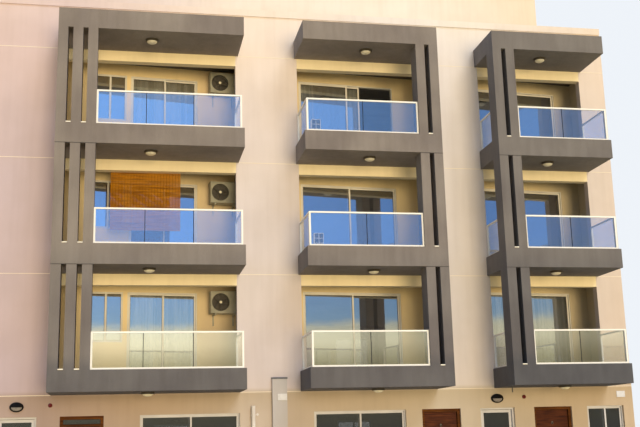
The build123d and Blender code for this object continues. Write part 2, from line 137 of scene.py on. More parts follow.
sky_output = add_node(sky_tree, "ShaderNodeOutputWorld")
set_stops(sky_ramp, ((0.0, (0.030, 0.030, 0.028)), (0.025, (0.050, 0.048, 0.030)),
                     (0.05, (0.22, 0.19, 0.09)), (0.075, (0.50, 0.44, 0.24)),
                     (0.095, (0.95, 0.86, 0.56)), (0.108, (0.90, 0.83, 0.57)),
                     (0.116, (0.33, 0.52, 0.70)), (0.19, (0.19, 0.40, 0.86)),
                     (0.45, (0.17, 0.38, 0.78))))
connect(sky_tree, (sky_point.outputs["Generated"], sky_height.inputs[0]),
        (sky_height.outputs["Z"], sky_ramp.inputs[0]),
        (sky_ramp.outputs[0], sky_mirrored.inputs["Color"]),
        (sky_height.outputs["X"], sky_fading.inputs["Value"]),
        (sky_fading.outputs[0], sky_mirrored.inputs["Strength"]),
        (sky_path.outputs["Is Glossy Ray"], sky_gloss_mix.inputs[0]),
        (sky_light.outputs[0], sky_gloss_mix.inputs[1]),
        (sky_mirrored.outputs[0], sky_gloss_mix.inputs[2]),
        (sky_path.outputs["Is Camera Ray"], sky_mix.inputs[0]),
        (sky_gloss_mix.outputs[0], sky_mix.inputs[1]),
        (sky_backdrop.outputs[0], sky_mix.inputs[2]), (sky_mix.outputs[0], sky_output.inputs[0]))

bpy.ops.mesh.primitive_plane_add(size=400, location=(0, 0, -0.002))
studio_floor = bpy.context.object
studio_floor.name = "studio_floor"
floor_paint = bpy.data.materials.new("pale_floor")
floor_paint.use_nodes = True
floor_tree = floor_paint.node_tree
floor_shader = floor_tree.nodes["Principled BSDF"]
floor_shader.inputs["Roughness"].default_value = 0.9
floor_path = add_node(floor_tree, "ShaderNodeLightPath")
floor_bounce = add_node(floor_tree, "ShaderNodeMix", {"data_type": "RGBA"})
floor_bounce.inputs[6].default_value = (0.72, 0.55, 0.27, 1)
floor_bounce.inputs[7].default_value = (0.17, 0.21, 0.27, 1)
floor_tone = add_node(floor_tree, "ShaderNodeMix", {"data_type": "RGBA"})
floor_tone.inputs[7].default_value = (0.80, 0.78, 0.74, 1)
connect(floor_tree, (floor_path.outputs["Is Glossy Ray"], floor_bounce.inputs[0]),
        (floor_bounce.outputs[2], floor_tone.inputs[6]),
        (floor_path.outputs["Is Camera Ray"], floor_tone.inputs[0]),
        (floor_tone.outputs[2], floor_shader.inputs["Base Color"]))
studio_floor.visible_shadow = False
studio_floor.data.materials.append(floor_paint)
studio_floor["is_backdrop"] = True
bpy.context.scene.view_settings.view_transform = "Standard"

# Floor slabs and penthouse roof
# Each storey stands on one cast concrete slab between the outer walls, with faint board marks and
# drier patches. Its ceilings over the loggias are darkened by painted shade; inside they are pale.


def paint(names, material):
    """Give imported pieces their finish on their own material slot."""
    for name in names:
        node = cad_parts[name]
        if node.material_slots:
            node.material_slots[0].material = material
        else:
            node.data.materials.append(material)


def patchy(tree, scale, tones, detail=3.0, stretch=(1, 1, 1), low=0.35, high=0.65):
    """Two tones that drift into each other in patches, read in the block's own metres."""
    point = add_node(tree, "ShaderNodeTexCoord")
    mapping = add_node(tree, "ShaderNodeMapping", Scale=stretch)
    noise = add_node(tree, "ShaderNodeTexNoise", Scale=scale, Detail=detail)
    ramp = add_node(tree, "ShaderNodeValToRGB")
    set_stops(ramp, ((low, tones[0]), (high, tones[1])))
    connect(tree, (point.outputs["Object"], mapping.inputs["Vector"]),
            (mapping.outputs[0], noise.inputs["Vector"]), (noise.outputs[0], ramp.inputs[0]))
    return ramp.outputs[0]


def graded(tree, axis, tones):
    """Tones that follow one another along one of the block's axes, at places in metres."""
    start, end = tones[0][0], tones[-1][0]
    point = add_node(tree, "ShaderNodeTexCoord")
    split = add_node(tree, "ShaderNodeSeparateXYZ")
    share = add_node(tree, "ShaderNodeMapRange", **{"From Min": start, "From Max": end})
    ramp = add_node(tree, "ShaderNodeValToRGB")
    set_stops(ramp, [((place - start) / (end - start), tone) for place, tone in tones])
    connect(tree, (point.outputs["Object"], split.inputs[0]),
            (split.outputs[axis], share.inputs["Value"]), (share.outputs[0], ramp.inputs[0]))
    return ramp.outputs[0]


def multiplied(tree, *layers):
    """Layers of one surface's tones, multiplied into one colour."""
    colour = layers[0]
    for layer in layers[1:]:
        mix = add_node(tree, "ShaderNodeMix", {"data_type": "RGBA", "blend_type": "MULTIPLY"})
        mix.inputs[0].default_value = 1.0
        connect(tree, (colour, mix.inputs[6]), (layer, mix.inputs[7]))
        colour = mix.outputs[2]
    return colour


def new_finish(name, roughness, metallic=0.0):
    """An empty finish, with its node tree and its shader."""
    material = bpy.data.materials.new(name)
    material.use_nodes = True
    shader = material.node_tree.nodes["Principled BSDF"]
    shader.inputs["Roughness"].default_value = roughness
    shader.inputs["Metallic"].default_value = metallic
    return material, material.node_tree, shader


def dress(tree, shader, colour, grain):
    """Give a shader its colour and its raised grain, in layers of scale, depth, strength."""
    connect(tree, (colour, shader.inputs["Base Color"]))
    normal = None
    for scale, depth, strength in grain:
        point = add_node(tree, "ShaderNodeTexCoord")
        noise = add_node(tree, "ShaderNodeTexNoise", Scale=scale, Detail=3.0)
        bump = add_node(tree, "ShaderNodeBump", Distance=depth, Strength=strength)
        connect(tree, (point.outputs["Object"], noise.inputs["Vector"]),
                (noise.outputs[0], bump.inputs["Height"]))
        if normal:
            connect(tree, (normal, bump.inputs["Normal"]))
        normal = bump.outputs[0]
    connect(tree, (normal, shader.inputs["Normal"]))


def mottled(name, tones, roughness, scale, grain, metallic=0.0):
    """A finish of two close tones with a fine raised grain."""
    material, tree, shader = new_finish(name, roughness, metallic)
    dress(tree, shader, patchy(tree, scale, tones), grain)
    return material


def cast_concrete(name, tones, shade_inward=None):
    """Concrete with drier patches and board marks, and painted shade that changes its tone along
    Y.
    """
    material, tree, shader = new_finish(name, 0.85)
    layers = [patchy(tree, 0.8, tones),
              patchy(tree, 6.0, ((0.88, 0.88, 0.88), (1, 1, 1)), stretch=(0.1, 1, 1))]
    if shade_inward:
        layers.append(graded(tree, "Y", shade_inward))
    dress(tree, shader, multiplied(tree, *layers), ((40, 0.003, 0.3), (260, 0.001, 0.25)))
    return material


# Painted shade: the ceilings over the loggias, in front of the rooms, are darkened.
loggia_ceiling_shade_tones = ((-6.0, (0.20, 0.18, 0.15)), (-4.02, (0.20, 0.18, 0.15)), (-3.97, (1, 1, 1)),
                 (6.0, (1, 1, 1)))
slab_concrete = cast_concrete("slab_concrete", ((0.58, 0.55, 0.50), (0.70, 0.67, 0.62)),
                              loggia_ceiling_shade_tones)
paint(["floor_slabs"], slab_concrete)
roof_concrete = cast_concrete("roof_concrete", ((0.25, 0.23, 0.20), (0.36, 0.34, 0.31)))
paint(["penthouse_roof"], roof_concrete)

# Outer walls
# Blockwork with a coat of sand render, painted cream. The paint varies in broad patches, and rain
# has drawn faint upright streaks down it. Painted shade darkens it from bay to bay and towards the
# ground, with a darker, warmer band of painted shade just under the first trays; only the top
# keeps the full tone.
# Painted shade: the wall is darker in some bays than in others.
bay_shade_tones = ((-8.5, (0.75, 0.70, 0.74)), (-6.9, (0.75, 0.70, 0.74)), (-2.2, (0.94, 0.96, 0.93)),
               (-0.6, (0.94, 0.96, 0.93)), (3.2, (0.93, 1.0, 1.0)), (4.4, (0.93, 1.0, 1.0)),
               (8.5, (0.90, 0.88, 0.78)))
# Painted shade: the wall darkens towards the ground, with a darker, warmer band just under the
# first trays.
height_shade_tones = ((0.0, (0.64, 0.61, 0.56)), (2.3, (0.64, 0.60, 0.54)), (2.8, (0.58, 0.53, 0.44)),
                (2.95, (0.77, 0.76, 0.82)), (6.0, (0.82, 0.82, 0.86)), (10.0, (0.88, 0.88, 0.92)),
                (12.0, (0.95, 0.94, 0.96)), (13.0, (1.0, 1.0, 1.0)))
# Painted shade: the loggia walls darken towards the right end of the left and right columns'
# loggias.
loggia_shade_tones = ((-6.8, (1, 1, 1)), (-3.5, (1, 1, 1)), (-2.9, (0.74, 0.72, 0.78)),
                (-1.2, (0.90, 0.90, 0.90)), (6.6, (0.95, 0.96, 1.0)), (7.3, (0.70, 0.73, 0.85)),
                (8.0, (0.62, 0.66, 0.80)))


def cream_paint(name, warm, cool, along=None, upward=None):
    """Painted render with its drift, clouds and streaks, and with painted shade graded along X and
    up Z.
    """
    material, tree, shader = new_finish(name, 0.88)
    drift = patchy(tree, 0.16, (cool, warm), detail=2.0, low=0.38, high=0.62)
    cloudy = patchy(tree, 1.4, ((0.955, 0.95, 0.94), (1, 1, 1)), detail=5.0)
    streaks = patchy(tree, 3.0, ((0.96, 0.956, 0.952), (1, 1, 1)), detail=4.0,
                     stretch=(2.2, 2.2, 0.14), low=0.3, high=0.55)
    layers = [drift, cloudy, streaks]
    for axis, tones in (("X", along), ("Z", upward)):
        if tones:
            layers.append(graded(tree, axis, tones))
    dress(tree, shader, multiplied(tree, *layers), ((5, 0.004, 0.25), (170, 0.0015, 0.45)))
    return material


cream_render = cream_paint("cream_render", (0.96, 0.82, 0.76), (0.90, 0.80, 0.81), bay_shade_tones,
                           height_shade_tones)
paint(["street_wall", "doorway_lintels", "facade_piers", "party_wall_left", "terrace_parapet",
       "party_wall_right", "rear_wall", "penthouse_front_wall"], cream_render)
# Painted light: the lintels get a warmer, golden copy of the cream paint for the warm light
# bounced up under the trays.
lintel_golden_light_render = cream_paint("lintel_golden_light_render", (1.0, 0.86, 0.58), (0.95, 0.83, 0.58))
paint(["loggia_lintels"], lintel_golden_light_render)
# Painted light and shade: the loggia walls get a golden copy of the cream paint, low in blue, for
# warm bounce light in their shade.
loggia_golden_shade_render = cream_paint("loggia_golden_shade_render", (1.0, 0.80, 0.46), (0.94, 0.77, 0.46), loggia_shade_tones)
paint(["loggia_side_walls", "loggia_back_walls_left", "loggia_back_walls_middle",
       "loggia_back_walls_right"], loggia_golden_shade_render)
duct_render = cream_paint("duct_render", (0.565, 0.53, 0.555), (0.51, 0.49, 0.52))
paint(["street_duct"], duct_render)

# Storey beads
# A slim metal stop bead, painted with the wall, ends each day's coat of render. Its paint here is
# kept lighter than the wall's painted shade, as a painted highlight along it. It runs level with
# the underside of every balcony, across the wall between them.
street_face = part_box("street_wall")[0].y
bays = {place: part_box("balconies_" + place) for place in ("left", "middle", "right")}
first_soffit = bays["left"][0].z
storey = 3.0
soffits = [first_soffit + storey * level for level in range(4)]
bead_height = 0.014
bead_proud = 0.004


def settled(stretch=(1, 1, 1)):
    """The piece just added, with its size, turn and place moved into its mesh."""
    piece = bpy.context.object
    piece.scale = stretch
    bpy.ops.object.transform_apply(location=True, rotation=True, scale=True)
    return piece


def square_bar(low, high):
    """A sharp-edged bar between two corners."""
    low, high = Vector(low), Vector(high)
    bpy.ops.object.select_all(action="DESELECT")
    bpy.ops.mesh.primitive_cube_add(size=1, location=(low + high) / 2)
    return settled(high - low)


def open_whole():
    """Open the active piece in edit mode with all of it selected."""
    bpy.ops.object.mode_set(mode="EDIT")
    bpy.ops.mesh.select_all(action="SELECT")


def bar(low, high, rounding, segments=2):
    """A bar between two corners with all its edges rounded."""
    piece = square_bar(low, high)
    open_whole()
    bpy.ops.mesh.bevel(offset=rounding, segments=segments, affect="EDGES")
    bpy.ops.object.mode_set(mode="OBJECT")
    return piece


def take(*pieces):
    """Select these pieces alone, with the first one active."""
    bpy.ops.object.select_all(action="DESELECT")
    for piece in pieces:
        piece.select_set(True)
    bpy.context.view_layer.objects.active = pieces[0]


def finished(name, pieces, material, body="block"):
    """Like pieces joined in one, with their finish and what carries them."""
    take(*pieces)
    if len(pieces) > 1:
        bpy.ops.object.join()
    piece = bpy.context.object
    piece.name = name
    piece.data.materials.clear()
    piece.data.materials.append(material)
    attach(piece, body)
    piece.select_set(False)
    return piece


piers = [(cad_low.x + 0.001, bays["left"][0].x), (bays["left"][1].x, bays["middle"][0].x),
         (bays["middle"][1].x, bays["right"][0].x), (bays["right"][1].x, cad_high.x - 0.001)]
beads = [bar((x0, street_face - bead_proud, z - bead_height / 2),
             (x1, street_face + bead_proud, z + bead_height / 2), 0.0015)
         for z in soffits for x0, x1 in piers]
# Painted highlight: the bead is left out of the wall's painted shade, so it reads as a light line.
bead_paint_painted_highlight = mottled("bead_paint_painted_highlight", ((0.84, 0.75, 0.64), (0.90, 0.82, 0.70)), 0.6, 1.2,
                     ((200, 0.0005, 0.2),))
finished("storey_beads", beads, bead_paint_painted_highlight)

# Balconies and blade columns
# Cast trays and narrow upright blades, coated in coarse grey-brown textured render.
# Dust lies in the coat, so it is speckled, and it is darker where water has run. Painted shade
# darkens the lower storeys and the right column.
dark_render, tree, shader = new_finish("dark_render", 0.92)
drift = patchy(tree, 0.7, ((0.225, 0.198, 0.190), (0.285, 0.255, 0.238)), detail=4.0)
speckle = patchy(tree, 90, ((0.80, 0.80, 0.81), (1.14, 1.12, 1.10)), detail=2.0)
runs = patchy(tree, 4.0, ((0.90, 0.89, 0.88), (1, 1, 1)), stretch=(1.5, 1.5, 0.2))
# Painted shade: the trays and blades darken towards the lower storeys.
lower_storey_shade = graded(tree, "Z", ((2.8, (0.52, 0.56, 0.64)), (3.4, (0.54, 0.58, 0.66)),
                           (3.7, (0.74, 0.76, 0.82)), (5.8, (0.82, 0.84, 0.88)),
                           (6.5, (0.97, 0.97, 0.98)), (12.4, (1, 1, 1))))
# Painted shade: the right column is darker.
right_column_shade = graded(tree, "X", ((-7.0, (1, 1, 1)), (3.0, (0.97, 0.98, 1)), (4.4, (0.76, 0.80, 0.85)),
                          (8.0, (0.76, 0.80, 0.85))))
dress(tree, shader, multiplied(tree, drift, speckle, lower_storey_shade, right_column_shade, runs),
      ((28, 0.006, 0.35), (120, 0.004, 0.6)))
paint(["balconies_left", "balconies_middle", "balconies_right", "blade_columns"], dark_render)

# Blade joints
# The blades were cast after the trays. A joint shows across their heads under the second and third
# balconies, drawn as a near-black strip: a painted shadow line under the fascia.
blade_width = 0.240
blade_slot = 0.125
blade_pitch = blade_width + blade_slot
front_face = bays["left"][0].y
blade_starts = {"left": [bays["left"][0].x + i * blade_pitch for i in range(3)],
                "middle": [bays["middle"][1].x - blade_width - i * blade_pitch
                           for i in (1, 0)],
                "right": [bays["right"][0].x + i * blade_pitch for i in range(2)]}
joint_height = 0.016
# Painted shade: this near-black strip stands for the shadow line under the fascia.
joint_shadow_paint = mottled("joint_painted_shadow", ((0.045, 0.040, 0.035), (0.075, 0.066, 0.058)), 0.7, 20,
                  ((300, 0.0005, 0.2),))
joints = [bar((starts[0] - 0.002, front_face - 0.002, z - joint_height),
              (starts[-1] + blade_width + 0.002, front_face + 0.004, z), 0.001)
          for starts in blade_starts.values() for z in soffits[1:3]]
finished("blade_joints", joints, joint_shadow_paint)

# Slot sills
# A white marble sill closes the foot of each slot between two blades. It lies on the
# upstand, stands a little proud of the fascia and throws the rain clear of it.
upstand_rise = 0.505
upstand_width = 0.160
sill_height = 0.028
sill_nose = 0.012
sill_feet = [soffit + upstand_rise for soffit in soffits[:3]]
white_marble = mottled("white_marble", ((0.80, 0.76, 0.68), (0.90, 0.87, 0.80)), 0.35, 9.0,
                       ((60, 0.0008, 0.2),))
slots = [(start + blade_width, start + blade_pitch)
         for starts in blade_starts.values() for start in starts[:-1]]
sills = [bar((x0 + 0.002, front_face - sill_nose, foot),
             (x1 - 0.002, front_face + upstand_width, foot + sill_height), 0.004)
         for x0, x1 in slots for foot in sill_feet]
finished("slot_sills", sills, white_marble)

# Balcony and terrace tiles
# Sand-coloured glazed floor tiles, laid in mortar with narrow sunk joints. They cover
# each tray, run in through the opening to the joinery, and cover the roof terrace.
slab_rise = 0.335
tile = 0.330
tile_joint = 0.003
tile_rise = 0.006
outer_wall = 0.220
wall_inside = street_face + outer_wall
loggia_side = 0.165
loggia_reach = 1.25
loggia_pivot_depth = 0.840
loggia_turn = math.radians(5.57)


def tile_bed(x0, x1, y0, y1, floor):
    """A level bed of square tiles with sunk joints between them."""
    columns = max(1, round((x1 - x0) / tile))
    rows = max(1, round((y1 - y0) / tile))
    bpy.ops.object.select_all(action="DESELECT")
    bpy.ops.mesh.primitive_grid_add(x_subdivisions=columns, y_subdivisions=rows, size=1,
                                    location=((x0 + x1) / 2, (y0 + y1) / 2, floor + 0.002))
    bed = settled((x1 - x0, y1 - y0, 1))
    open_whole()
    bpy.ops.mesh.inset(thickness=tile_joint / 2, depth=0, use_individual=True)
    bpy.ops.mesh.inset(thickness=0.001, depth=tile_rise, use_individual=True)
    bpy.ops.object.mode_set(mode="OBJECT")
    return bed


def cut_beyond(piece, point, normal, closed=False):
    """Take away what lies past a plane."""
    take(piece)
    open_whole()
    bpy.ops.mesh.bisect(plane_co=point, plane_no=normal, clear_outer=True, use_fill=closed)
    bpy.ops.object.mode_set(mode="OBJECT")


glazed_tile = mottled("glazed_tile", ((0.44, 0.37, 0.29), (0.56, 0.49, 0.40)), 0.35, 4.0,
                      ((45, 0.0006, 0.3),))
back_normal = (-math.sin(loggia_turn), math.cos(loggia_turn), 0)
floors = [soffit + slab_rise for soffit in soffits]
beds = []
for low, high in bays.values():
    for floor in floors[:3]:
        loggia_bed = tile_bed(low.x - loggia_side, high.x + loggia_side, wall_inside,
                              wall_inside + loggia_reach, floor)
        cut_beyond(loggia_bed, (low.x, street_face + loggia_pivot_depth, 0), back_normal)
        beds += [tile_bed(low.x + upstand_width, high.x - upstand_width,
                          front_face + upstand_width, street_face, floor),
                 tile_bed(low.x, high.x, street_face, wall_inside, floor), loggia_bed]
low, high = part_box("penthouse_front_wall")
beds.append(tile_bed(low.x, high.x, wall_inside, low.y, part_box("terrace_parapet")[0].z))
finished("floor_tiles", beds, glazed_tile)

# Roof covering
# Sheets of grey mineral felt, a metre wide, are torched down on the roof slab from side
# to side. Each laps over the edge of its neighbour.
felt_width = 1.0
felt_lap = 0.08
felt_thickness = 0.005
roof_low, roof_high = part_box("penthouse_roof")
roof_depth = roof_high.y - roof_low.y
sheet_count = math.ceil(roof_depth / (felt_width - felt_lap))
sheet_step = roof_depth / sheet_count
mineral_felt = mottled("mineral_felt", ((0.17, 0.17, 0.165), (0.26, 0.26, 0.25)), 0.95, 2.5,
                       ((350, 0.001, 0.6), (3, 0.004, 0.2)))
felts = []
for i in range(sheet_count):
    start = roof_low.y + i * sheet_step
    end = min(roof_high.y, start + sheet_step + felt_lap)
    under = roof_high.z + felt_thickness * (i % 2)
    felts.append(bar((roof_low.x, start, under),
                     (roof_high.x, end, under + felt_thickness), 0.0015))
finished("roof_felt", felts, mineral_felt)

# Balcony drain spout
# A short grey plastic pipe lets water out of the lowest tray of the right column. It is
# cast into the tray and stands down below it.
spout_radius = 0.016
spout_x = 4.745
spout_from_wall = 0.750
spout_length = 0.150
spout_inside = 0.020
drain_pipe = mottled("drain_pipe", ((0.10, 0.09, 0.085), (0.15, 0.14, 0.13)), 0.5, 30,
                     ((200, 0.0005, 0.2),))


def open_faces(piece, chosen):
    """Open a piece in edit mode with only the faces of a chosen direction selected."""
    bpy.context.tool_settings.mesh_select_mode = (False, False, True)
    for face in piece.data.polygons:
        face.select = chosen(face.normal)
    bpy.ops.object.mode_set(mode="EDIT")


def tube(start, length, radius, direction, wall=0.003):
    """A short round pipe with an open end, from a start along one axis."""
    turn = Vector((0, 0, 1)).rotation_difference(Vector(direction)).to_matrix().to_4x4()
    bpy.ops.object.select_all(action="DESELECT")
    bpy.ops.mesh.primitive_cylinder_add(vertices=32, radius=radius, depth=length,
                                        location=(0, 0, length / 2))
    pipe = settled()
    open_faces(pipe, lambda normal: normal.z > 0.9)
    bpy.ops.mesh.inset(thickness=wall, depth=0)
    bpy.ops.mesh.extrude_region_move(TRANSFORM_OT_translate={"value": (0, 0, -length * 0.5)})
    bpy.ops.object.mode_set(mode="OBJECT")
    pipe.data.transform(Matrix.Translation(Vector(start)) @ turn)
    bpy.ops.object.shade_smooth_by_angle(angle=math.radians(35))
    return pipe


spout = tube((spout_x, street_face - spout_from_wall, first_soffit + spout_inside),
             spout_length + spout_inside, spout_radius, (0, 0, -1))
finished("drain_spout", [spout], drain_pipe)

# Ceiling lamps
# A round bulkhead lamp under the middle of every tray and canopy: a bronze-coloured
# ring screwed to the render, and an opal lens that swells out of it.
rim_radius = 0.165
rim_depth = 0.045
lens_radius = 0.132
lens_swell = 0.068
lamp_setback = 0.615
bronze_coat = mottled("bronze_coat", ((0.060, 0.050, 0.036), (0.090, 0.075, 0.055)), 0.42, 12,
                      ((300, 0.0004, 0.2),), metallic=0.3)
opal_glass = mottled("opal_glass", ((0.70, 0.65, 0.52), (0.82, 0.78, 0.66)), 0.28, 14,
                     ((60, 0.0006, 0.2),))
opal_glass.node_tree.nodes["Principled BSDF"].inputs["Coat Weight"].default_value = 0.4


def lamp_ring(radius, opening, depth):
    """A flat-backed ring under z 0 with a rounded lip and a recess for its lens."""
    bpy.ops.object.select_all(action="DESELECT")
    bpy.ops.mesh.primitive_cylinder_add(vertices=64, radius=radius, depth=depth,
                                        location=(0, 0, -depth / 2))
    ring = settled()
    open_faces(ring, lambda normal: normal.z < -0.9)
    bpy.ops.mesh.inset(thickness=0.010, depth=0.006)
    bpy.ops.mesh.inset(thickness=radius - opening - 0.014, depth=0.002)
    bpy.ops.mesh.inset(thickness=0.004, depth=-0.016)
    bpy.ops.object.mode_set(mode="OBJECT")
    bpy.ops.object.shade_smooth_by_angle(angle=math.radians(30))
    return ring


def lens_dome(radius, swell, segments=64):
    """The lower half of a flattened ball, closed by its flat back, under z 0."""
    bpy.ops.object.select_all(action="DESELECT")
    bpy.ops.mesh.primitive_uv_sphere_add(segments=segments, ring_count=24, radius=radius)
    dome = settled((1, 1, swell / radius))
    cut_beyond(dome, (0, 0, 0), (0, 0, 1), closed=True)
    bpy.ops.object.shade_smooth_by_angle(angle=math.radians(40))
    return dome


def copies(pattern, moves):
    """A piece for each move of a pattern, with its own mesh. The pattern goes."""
    made = []
    for move in moves:
        piece = pattern.copy()
        piece.data = pattern.data.copy()
        piece.data.transform(move)
        bpy.context.collection.objects.link(piece)
        made.append(piece)
    bpy.data.objects.remove(pattern)
    return made


lamp_spots = [Matrix.Translation(((low.x + high.x) / 2, front_face + lamp_setback, z))
              for low, high in bays.values() for z in soffits]
rings = copies(lamp_ring(rim_radius, lens_radius, rim_depth), lamp_spots)
in_ring = Matrix.Translation((0, 0, -rim_depth + 0.004))
lenses = copies(lens_dome(lens_radius, lens_swell), [spot @ in_ring for spot in lamp_spots])
ceiling_rings = finished("ceiling_lamp_rings", rings, bronze_coat)
finished("ceiling_lamp_lenses", lenses, opal_glass)

# Wall lamps
# An oval eyelid lamp over each white street door. A black cast rim holds a dusty lens,
# and a black hood covers its upper half so that it lights the step.
eyelid_width = 0.330
eyelid_height = 0.235
eyelid_level = 2.570
eyelid_depth = 0.050
eyelid_rim_width = 0.034
glazed_doors = [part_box("glazed_door_" + place) for place in ("left", "middle")]
black_casting = mottled("black_casting", ((0.006, 0.005, 0.005), (0.012, 0.010, 0.010)), 0.6,
                        25, ((260, 0.0006, 0.3),))
black_casting.node_tree.nodes["Principled BSDF"].inputs["Specular IOR Level"].default_value = 0.12
dusty_glass = mottled("dusty_glass", ((0.20, 0.185, 0.185), (0.29, 0.265, 0.26)), 0.45, 18,
                      ((60, 0.0006, 0.2),))
facing_street = Matrix.Rotation(math.radians(-90), 4, "X")
eyelid_spots = [Matrix.Translation(((low.x + high.x) / 2, street_face, eyelid_level))
                for low, high in glazed_doors]
oval = facing_street @ Matrix.Diagonal((1, eyelid_height / eyelid_width, 1, 1))
oval_in_rim = oval @ Matrix.Translation((0, 0, 0.008 - eyelid_depth))
lens_width = eyelid_width / 2 - eyelid_rim_width
eyelid_rim = lamp_ring(eyelid_width / 2, lens_width, eyelid_depth)
eyelid_lens = lens_dome(lens_width, 0.046)
eyelid_hood = lens_dome(lens_width + 0.010, 0.053)
eyelid_hood.data.transform(oval_in_rim)
cut_beyond(eyelid_hood, (0, 0, 0.006), (0, 0.12, -1), closed=True)
rims = copies(eyelid_rim, [spot @ oval for spot in eyelid_spots])
rims += copies(eyelid_hood, eyelid_spots)
eyelids = copies(eyelid_lens, [spot @ oval_in_rim for spot in eyelid_spots])
eyelid_rims = finished("wall_lamp_rims", rims, black_casting)
finished("wall_lamp_lenses", eyelids, dusty_glass)
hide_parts("bulkhead_lamps")
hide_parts("bulkhead_lamps")

# Window and door frames
# Aluminium sections with a white powder coat, and a fine orange peel breaks its shine. The balcony
# frames' cream tone is partly slight yellowing and partly painted shade from the loggias.
# Painted shade: the balcony frames' coat is darker and warmer than the rails' white.
white_coat_partly_shaded = mottled("white_powder_coat_partly_shaded", ((0.74, 0.70, 0.62), (0.82, 0.79, 0.72)), 0.38, 2.0,
                     ((400, 0.0004, 0.2),))
paint(["balcony_door_frames_left", "balcony_door_frames_middle", "balcony_door_frames_right"],
      white_coat_partly_shaded)
street_coat = mottled("street_powder_coat", ((0.60, 0.60, 0.65), (0.68, 0.68, 0.73)), 0.38, 2.0,
                      ((400, 0.0004, 0.2),))
paint(["window_frames", "glazed_door_jambs", "glazed_door_heads", "glazed_door_left",
       "glazed_door_middle"], street_coat)

# Window glass
# Sealed tinted panes, dark from outside by day, with a strong and slightly wavy shine.
# Each lies in the rebate of its frame or leaf.


def glazing(name, tint, rear_tint, cover, mirror, wave):
    """Coated glass that hides part of what lies behind it and mirrors the street."""
    material, tree, shader = new_finish(name, 0.02, mirror)
    coating = graded(tree, "Y", ((-7.0, tint), (5.0, tint), (6.0, rear_tint), (7.0, rear_tint)))
    shader.inputs["Alpha"].default_value = cover
    shader.inputs["IOR"].default_value = 1.7
    dress(tree, shader, coating, ((0.9, 0.02, wave),))
    return material


window_tint = glazing("window_tint", (0.88, 0.92, 0.97), (0.13, 0.17, 0.25), 0.50, 0.96, 0.05)
paint(["balcony_door_glass", "window_glass", "fanlight_glass", "glazed_door_glass_left",
       "glazed_door_glass_middle"], window_tint)

# Glazing gaskets
# A black rubber strip lies between each pane and its frame, on both sides of the glass.
# It is pressed in all round and stands a little proud of the pane.
gasket_width = 0.007
gasket_proud = 0.003
black_rubber = mottled("black_rubber", ((0.012, 0.012, 0.012), (0.022, 0.022, 0.022)), 0.75, 40,
                       ((500, 0.0003, 0.2),))


def pane_boxes(node, turn=0.0):
    """The corners of each loose sheet of a node, seen square on after a turn about Z."""
    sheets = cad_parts[node].copy()
    sheets.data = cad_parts[node].data.copy()
    bpy.context.collection.objects.link(sheets)
    sheets.data.transform(Matrix.Rotation(-turn, 4, "Z"))
    take(sheets)
    open_whole()
    bpy.ops.mesh.remove_doubles(threshold=0.0001)
    bpy.ops.mesh.separate(type="LOOSE")
    bpy.ops.object.mode_set(mode="OBJECT")
    boxes = []
    for loose in list(bpy.context.selected_objects):
        spots = [vertex.co for vertex in loose.data.vertices]
        boxes.append((Vector(map(min, zip(*spots))), Vector(map(max, zip(*spots)))))
        bpy.data.objects.remove(loose)
    return sorted(boxes, key=lambda box: tuple(box[0]))


def square_ring(low, high, width):
    """A rectangular ring around an upright sheet, open from front to back."""
    ring = square_bar(low, high)
    open_faces(ring, lambda normal: abs(normal.y) > 0.9)
    bpy.ops.mesh.inset(thickness=width, depth=0, use_individual=True)
    bpy.ops.mesh.bridge_edge_loops()
    bpy.ops.object.mode_set(mode="OBJECT")
    return ring


def moved(parts, move):
    """Parts carried to their place by a matrix."""
    for part in parts:
        part.data.transform(move)
    return parts


def gaskets(node, turn=0.0):
    """Gaskets around every sheet of a node."""
    proud = Vector((0, gasket_proud, 0))
    rings = [square_ring(low - proud, high + proud, gasket_width)
             for low, high in pane_boxes(node, turn)]
    return moved(rings, Matrix.Rotation(turn, 4, "Z"))


fixed_gaskets = gaskets("balcony_door_glass", loggia_turn) + gaskets("window_glass")
fixed_gaskets += gaskets("fanlight_glass")
finished("window_gaskets", fixed_gaskets, black_rubber)
for place in ("left", "middle"):
    finished("door_gasket_" + place, gaskets("glazed_door_glass_" + place), black_rubber,
             "glazed_leaf_" + place)

# Sliding door pulls
# A slim white pull, a plate with a rounded grip, is screwed to the meeting stile of each
# sliding balcony door, on the street side.
pull_length = 0.180
pull_width = 0.026
pull_proud = 0.018
pull_height = 1.0
front_leaf_setback = 0.030


def pull(x, y, z):
    """A pull on a stile's street side: a rounded plate with a grip that stands off it."""
    plate = bar((x - pull_width / 2, y - 0.004, z - pull_length / 2),
                (x + pull_width / 2, y + 0.001, z + pull_length / 2), 0.0015)
    grip = bar((x - pull_width / 4, y - pull_proud, z - pull_length / 3),
               (x + pull_width / 4, y - 0.002, z + pull_length / 3), 0.005, 3)
    return [plate, grip]


loggia_frames = {}
for place, (low, high) in bays.items():
    pivot = Vector((low.x, street_face + loggia_pivot_depth, 0))
    loggia_frames[place] = Matrix.Translation(pivot) @ Matrix.Rotation(loggia_turn, 4, "Z")
door_spans = {"left": (1.800, 3.630), "middle": (0.260, 3.060), "right": (0.300, 2.860)}
pulls = []
for place, (start, end) in door_spans.items():
    middle = (start + end) / 2 / math.cos(loggia_turn)
    for floor in floors[:3]:
        pulls += moved(pull(middle + 0.018, front_leaf_setback, floor + pull_height),
                       loggia_frames[place])
finished("sliding_door_pulls", pulls, white_coat_partly_shaded)

# Curtains
# Pleated curtains hang from tracks behind four of the balcony doors; their broad light and dark
# upright stripes are painted shade of the folds. Each is one cut of cloth, wider than its track is
# long.
pleat_pitch = 0.115
pleat_depth = 0.017
curtain_cloth, tree, shader = new_finish("curtain_cloth", 0.9)
shader.inputs["Sheen Weight"].default_value = 0.3
